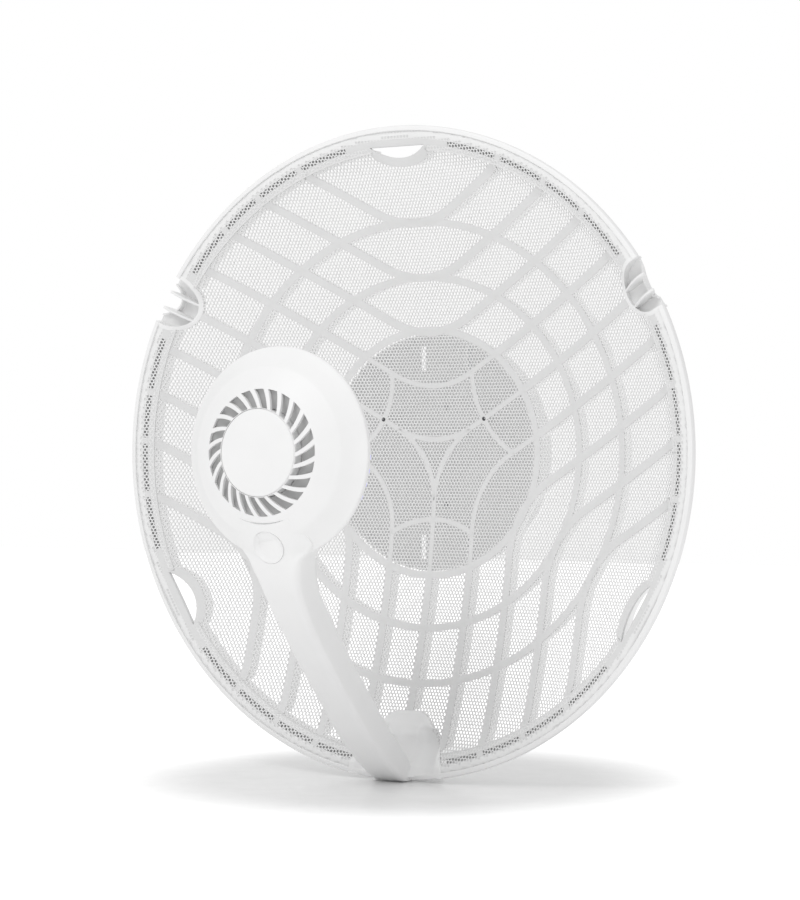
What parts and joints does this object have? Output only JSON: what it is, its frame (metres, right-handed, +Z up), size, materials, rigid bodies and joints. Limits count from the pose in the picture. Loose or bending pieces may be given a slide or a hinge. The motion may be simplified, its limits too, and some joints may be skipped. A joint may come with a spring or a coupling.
{
  "type": "outdoor wireless bridge",
  "caption": "Parabolic dish radio bridge: perforated reflector, feed arm with a round radio head, and a tilting pole saddle behind.",
  "frame": {"origin": "on the axis of the pole that holds it, level with the dish's axis", "axes": "+Z up along the pole, -Y the way the dish faces, +X to the right seen from the front"},
  "size_m": [0.413, 0.2868, 0.413],
  "materials": {
    "white_plastic": "satin",
    "grey_plastic": "satin",
    "dark_plastic": "matte",
    "cast_alloy": "cast",
    "steel": "zinc plated",
    "rubber": "matte",
    "circuit_board": "solder mask",
    "ceramic": "matte",
    "lens_plastic": "smooth",
    "light_pipe": "clear, faintly lit"
  },
  "bodies": {
    "pole_mount": {"pole_saddle": "cast_alloy", "pivot_bolt": "steel", "pivot_nut": "steel"},
    "dish": {"dish_skin": "white_plastic", "rim_ring": "white_plastic", "rib_lattice": "white_plastic", "socket_right": "white_plastic", "socket_left": "white_plastic", "socket_bottom": "white_plastic", "head_front_cover": "white_plastic", "head_centre_cap": "white_plastic", "head_rear_shell": "white_plastic", "arm_foot": "white_plastic", "hub_cup": "grey_plastic", "arm_spine": "grey_plastic", "hub_screw_1": "dark_plastic", "hub_screw_2": "dark_plastic", "thermal_pad": "dark_plastic", "tilt_bracket": "cast_alloy", "heat_sink": "cast_alloy", "bracket_screw_1": "steel", "bracket_screw_2": "steel", "bracket_screw_3": "steel", "bracket_screw_4": "steel", "ground_screw": "steel", "lock_bolt": "steel", "lock_nut": "steel", "shield_can": "steel", "network_socket": "steel", "latch_spring": "steel", "neck_screw_1": "steel", "neck_screw_2": "steel", "foot_screw_1": "steel", "foot_screw_2": "steel", "head_screw_1": "steel", "head_screw_2": "steel", "head_screw_3": "steel", "head_screw_4": "steel", "seal_ring": "rubber", "cable_outlet": "rubber", "main_board": "circuit_board", "positioning_antenna": "ceramic", "antenna_module": "ceramic", "feed_lens": "lens_plastic", "status_light_1": "light_pipe", "status_light_2": "light_pipe", "status_light_3": "light_pipe", "status_light_4": "light_pipe"},
    "arm_cover": {"arm_cover": "white_plastic"},
    "release_button": {"release_button": "white_plastic"},
    "cover_latch": {"cover_latch": "grey_plastic"}
  },
  "joints": [
    {"name": "tilt_hinge", "type": "hinge", "parent": "pole_mount", "child": "dish", "pos_m": [0, -0.05, -0.016], "axis": [1, 0, 0], "range_deg": [-15, 15]},
    {"name": "cover_slide", "type": "slide", "parent": "dish", "child": "arm_cover", "axis": [0, -1, 0], "range_m": [0, 0.06]},
    {"name": "button_press", "type": "slide", "parent": "arm_cover", "child": "release_button", "axis": [0, 0.9397, 0.342], "range_m": [0, 0.002], "stiffness_N_per_m": 800, "springref_m": -0.0015},
    {"name": "latch_slide", "type": "slide", "parent": "dish", "child": "cover_latch", "axis": [0, 0, -1], "range_m": [0, 0.0015], "stiffness_N_per_m": 800, "springref_m": -0.001, "deforming": ["latch_spring"]}
  ],
  "couplings": [
    {"joint": "latch_slide", "follows": "button_press", "ratio": 0.75}
  ]
}
